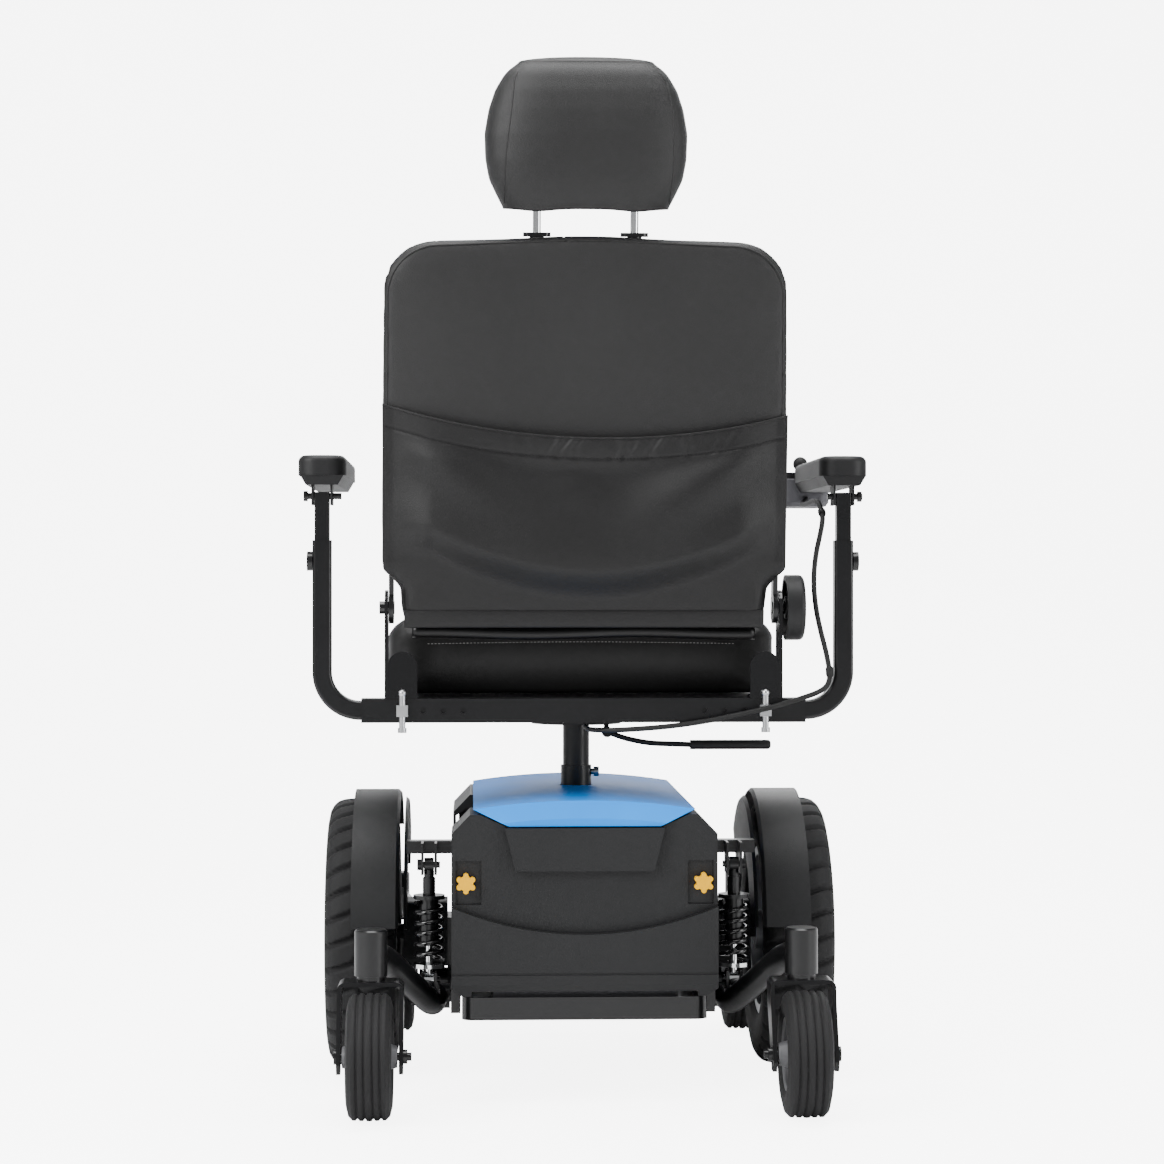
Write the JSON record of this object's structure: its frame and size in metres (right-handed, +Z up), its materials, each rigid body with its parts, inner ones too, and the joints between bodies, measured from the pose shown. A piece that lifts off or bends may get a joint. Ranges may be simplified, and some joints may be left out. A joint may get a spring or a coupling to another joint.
{
  "type": "power wheelchair",
  "caption": "Mid-wheel-drive power wheelchair with sprung casters, post-mounted swivelling captain's seat, flip-up armrests and hand joystick.",
  "frame": {"origin": "on the floor, at the middle of the bounding box's length and width", "axes": "+Y forward, the way the chair drives; +X the sitter's right, where the joystick is; +Z up"},
  "size_m": [0.712, 1.042, 1.2925],
  "materials": {
    "frame_black": "semi-gloss powder coat",
    "shroud_black": "satin, fine grain",
    "shroud_blue": "glossy sky blue",
    "thumb_yellow": "glossy",
    "tyre_black": "matte rubber",
    "rim_grey": "satin",
    "zinc": "bright zinc plate",
    "rod_chrome": "mirror polish",
    "vinyl_charcoal": "soft vinyl, fine pebble",
    "cloth_charcoal": "smooth nylon",
    "plastic_black": "moulded, lightly textured",
    "gloss_black": "glossy",
    "rubber_black": "soft, matte",
    "motor_grey": "painted, dull",
    "battery_grey": "moulded"
  },
  "bodies": {
    "base": {"base_frame": "frame_black", "battery_tray": "frame_black", "batteries": "battery_grey", "rear_shroud": "shroud_black", "top_shroud": "shroud_blue", "front_shroud": "shroud_black", "drive_motor_left": "motor_grey", "drive_motor_right": "motor_grey", "fender_left": "shroud_black", "fender_right": "shroud_black", "shock_bodies": "frame_black", "post_lock_screw": "zinc", "shock_spring_left": "gloss_black", "shock_spring_right": "gloss_black"},
    "thumb_left": {"thumb_screw_left": "thumb_yellow"},
    "thumb_right": {"thumb_screw_right": "thumb_yellow"},
    "wheel_left": {"drive_tyre_left": "tyre_black", "drive_rim_left": "rim_grey"},
    "wheel_right": {"drive_tyre_right": "tyre_black", "drive_rim_right": "rim_grey"},
    "rear_arm_left": {"rear_arm_left": "frame_black"},
    "rear_arm_right": {"rear_arm_right": "frame_black"},
    "shock_rod_left": {"shock_rod_left": "rod_chrome"},
    "shock_rod_right": {"shock_rod_right": "rod_chrome"},
    "rear_fork_left": {"rear_fork_left": "frame_black"},
    "rear_fork_right": {"rear_fork_right": "frame_black"},
    "rear_caster_left": {"rear_caster_left": "tyre_black"},
    "rear_caster_right": {"rear_caster_right": "tyre_black"},
    "front_arm_left": {"front_arm_left": "frame_black"},
    "front_arm_right": {"front_arm_right": "frame_black"},
    "front_fork_left": {"front_fork_left": "frame_black"},
    "front_fork_right": {"front_fork_right": "frame_black"},
    "front_caster_left": {"front_caster_left": "tyre_black"},
    "front_caster_right": {"front_caster_right": "tyre_black"},
    "foot_platform": {"foot_platform": "plastic_black"},
    "seat_post": {"seat_post": "frame_black"},
    "seat": {"seat_frame": "frame_black", "seat_cushion": "vinyl_charcoal", "hinge_plates": "gloss_black", "arm_lock_pins": "zinc", "lead_cross": "rubber_black"},
    "swivel_lever": {"swivel_lever": "rubber_black"},
    "backrest": {"back_frame": "frame_black", "back_cushion": "vinyl_charcoal"},
    "recline_knob": {"recline_knob": "plastic_black"},
    "headrest": {"headrest_rods": "rod_chrome", "headrest": "vinyl_charcoal"},
    "arm_tube_left": {"arm_tube_left": "frame_black"},
    "arm_tube_right": {"arm_tube_right": "frame_black", "lead_bow": "rubber_black"},
    "arm_riser_left": {"arm_riser_left": "frame_black"},
    "arm_riser_right": {"arm_riser_right": "frame_black"},
    "arm_pad_left": {"arm_pad_left": "plastic_black"},
    "arm_pad_right": {"arm_pad_right": "plastic_black", "joystick_housing": "plastic_black", "lead_arm": "rubber_black"},
    "stick_side": {"joystick_gimbal": "rubber_black"},
    "stick": {"joystick_handle": "rubber_black"},
    "power_key": {"power_key": "rubber_black"},
    "horn_key": {"horn_key": "rubber_black"}
  },
  "joints": [
    {"name": "thumb_screw_turn_left", "type": "hinge", "parent": "base", "child": "thumb_left", "pos_m": [-0.147, -0.36, 0.273], "axis": [0, -1, 0], "continuous": true},
    {"name": "drive_wheel_left", "type": "hinge", "parent": "base", "child": "wheel_left", "pos_m": [-0.283, -0.06, 0.178], "axis": [1, 0, 0], "continuous": true},
    {"name": "rear_arm_swing_left", "type": "hinge", "parent": "base", "child": "rear_arm_left", "pos_m": [-0.186, -0.185, 0.11], "axis": [-1, 0, 0], "range_deg": [0, 6], "stiffness_Nm_per_rad": 2400, "springref_deg": -1.15, "deforming": ["shock_spring_left"]},
    {"name": "shock_foot_left", "type": "hinge", "parent": "rear_arm_left", "child": "shock_rod_left", "pos_m": [-0.194, -0.25, 0.14], "axis": [-1, 0, 0], "range_deg": [-6, 0]},
    {"name": "rear_swivel_left", "type": "hinge", "parent": "rear_arm_left", "child": "rear_fork_left", "pos_m": [-0.262, -0.405, 0.165], "axis": [0, 0, 1], "continuous": true},
    {"name": "rear_caster_spin_left", "type": "hinge", "parent": "rear_fork_left", "child": "rear_caster_left", "pos_m": [-0.262, -0.445, 0.076], "axis": [1, 0, 0], "continuous": true},
    {"name": "front_arm_swing_left", "type": "hinge", "parent": "base", "child": "front_arm_left", "pos_m": [-0.186, 0, 0.105], "axis": [1, 0, 0], "range_deg": [0, 6], "stiffness_Nm_per_rad": 1800, "springref_deg": -1.43},
    {"name": "front_swivel_left", "type": "hinge", "parent": "front_arm_left", "child": "front_fork_left", "pos_m": [-0.25, 0.26, 0.165], "axis": [0, 0, 1], "continuous": true},
    {"name": "front_caster_spin_left", "type": "hinge", "parent": "front_fork_left", "child": "front_caster_left", "pos_m": [-0.25, 0.22, 0.076], "axis": [1, 0, 0], "continuous": true},
    {"name": "thumb_screw_turn_right", "type": "hinge", "parent": "base", "child": "thumb_right", "pos_m": [0.147, -0.36, 0.273], "axis": [0, -1, 0], "continuous": true},
    {"name": "drive_wheel_right", "type": "hinge", "parent": "base", "child": "wheel_right", "pos_m": [0.283, -0.06, 0.178], "axis": [1, 0, 0], "continuous": true},
    {"name": "rear_arm_swing_right", "type": "hinge", "parent": "base", "child": "rear_arm_right", "pos_m": [0.186, -0.185, 0.11], "axis": [-1, 0, 0], "range_deg": [0, 6], "stiffness_Nm_per_rad": 2400, "springref_deg": -1.15, "deforming": ["shock_spring_right"]},
    {"name": "shock_foot_right", "type": "hinge", "parent": "rear_arm_right", "child": "shock_rod_right", "pos_m": [0.194, -0.25, 0.14], "axis": [-1, 0, 0], "range_deg": [-6, 0]},
    {"name": "rear_swivel_right", "type": "hinge", "parent": "rear_arm_right", "child": "rear_fork_right", "pos_m": [0.262, -0.405, 0.165], "axis": [0, 0, 1], "continuous": true},
    {"name": "rear_caster_spin_right", "type": "hinge", "parent": "rear_fork_right", "child": "rear_caster_right", "pos_m": [0.262, -0.445, 0.076], "axis": [1, 0, 0], "continuous": true},
    {"name": "front_arm_swing_right", "type": "hinge", "parent": "base", "child": "front_arm_right", "pos_m": [0.186, 0, 0.105], "axis": [1, 0, 0], "range_deg": [0, 6], "stiffness_Nm_per_rad": 1800, "springref_deg": -1.43},
    {"name": "front_swivel_right", "type": "hinge", "parent": "front_arm_right", "child": "front_fork_right", "pos_m": [0.25, 0.26, 0.165], "axis": [0, 0, 1], "continuous": true},
    {"name": "front_caster_spin_right", "type": "hinge", "parent": "front_fork_right", "child": "front_caster_right", "pos_m": [0.25, 0.22, 0.076], "axis": [1, 0, 0], "continuous": true},
    {"name": "footplate_flip", "type": "hinge", "parent": "base", "child": "foot_platform", "pos_m": [0, 0.275, 0.112], "axis": [1, 0, 0], "range_deg": [0, 88]},
    {"name": "post_height", "type": "slide", "parent": "base", "child": "seat_post", "axis": [0, 0, 1], "range_m": [0, 0.06]},
    {"name": "seat_swivel", "type": "hinge", "parent": "seat_post", "child": "seat", "pos_m": [0, -0.06, 0.461], "axis": [0, 0, 1], "range_deg": [-90, 90]},
    {"name": "swivel_release", "type": "hinge", "parent": "seat", "child": "swivel_lever", "pos_m": [0.037, -0.1525, 0.449], "axis": [0, -1, 0], "range_deg": [0, 10], "stiffness_Nm_per_rad": 1.5, "springref_deg": -22.92},
    {"name": "back_recline", "type": "hinge", "parent": "seat", "child": "backrest", "pos_m": [0, -0.305, 0.613], "axis": [1, 0, 0], "range_deg": [-35, 30]},
    {"name": "recline_turn", "type": "hinge", "parent": "seat", "child": "recline_knob", "pos_m": [0.262, -0.305, 0.613], "axis": [1, 0, 0], "range_deg": [-210, 180]},
    {"name": "headrest_height", "type": "slide", "parent": "backrest", "child": "headrest", "axis": [0, -0.1392, 0.9903], "range_m": [0, 0.06]},
    {"name": "arm_width_left", "type": "slide", "parent": "seat", "child": "arm_tube_left", "axis": [-1, 0, 0], "range_m": [0, 0.04]},
    {"name": "arm_height_left", "type": "slide", "parent": "arm_tube_left", "child": "arm_riser_left", "axis": [0, 0, 1], "range_m": [0, 0.06]},
    {"name": "arm_flip_left", "type": "hinge", "parent": "arm_riser_left", "child": "arm_pad_left", "pos_m": [-0.326, -0.31, 0.752], "axis": [1, 0, 0], "range_deg": [0, 95]},
    {"name": "arm_width_right", "type": "slide", "parent": "seat", "child": "arm_tube_right", "axis": [1, 0, 0], "range_m": [0, 0.04]},
    {"name": "arm_height_right", "type": "slide", "parent": "arm_tube_right", "child": "arm_riser_right", "axis": [0, 0, 1], "range_m": [0, 0.06]},
    {"name": "arm_flip_right", "type": "hinge", "parent": "arm_riser_right", "child": "arm_pad_right", "pos_m": [0.326, -0.31, 0.752], "axis": [1, 0, 0], "range_deg": [0, 95]},
    {"name": "stick_fore_aft", "type": "hinge", "parent": "arm_pad_right", "child": "stick_side", "pos_m": [0.314, 0.041, 0.786], "axis": [1, 0, 0], "range_deg": [-18, 18], "stiffness_Nm_per_rad": 0.15},
    {"name": "stick_side_to_side", "type": "hinge", "parent": "stick_side", "child": "stick", "pos_m": [0.314, 0.041, 0.786], "axis": [0, 1, 0], "range_deg": [-18, 18], "stiffness_Nm_per_rad": 0.15},
    {"name": "power_key_press", "type": "slide", "parent": "arm_pad_right", "child": "power_key", "axis": [0, 0, -1], "range_m": [0, 0.0015], "stiffness_N_per_m": 700, "springref_m": -0.0006},
    {"name": "horn_key_press", "type": "slide", "parent": "arm_pad_right", "child": "horn_key", "axis": [0, 0, -1], "range_m": [0, 0.0015], "stiffness_N_per_m": 700, "springref_m": -0.0006}
  ],
  "couplings": [
    {"joint": "shock_foot_left", "follows": "rear_arm_swing_left", "ratio": -1},
    {"joint": "shock_foot_right", "follows": "rear_arm_swing_right", "ratio": -1},
    {"joint": "recline_turn", "follows": "back_recline", "ratio": 6}
  ]
}
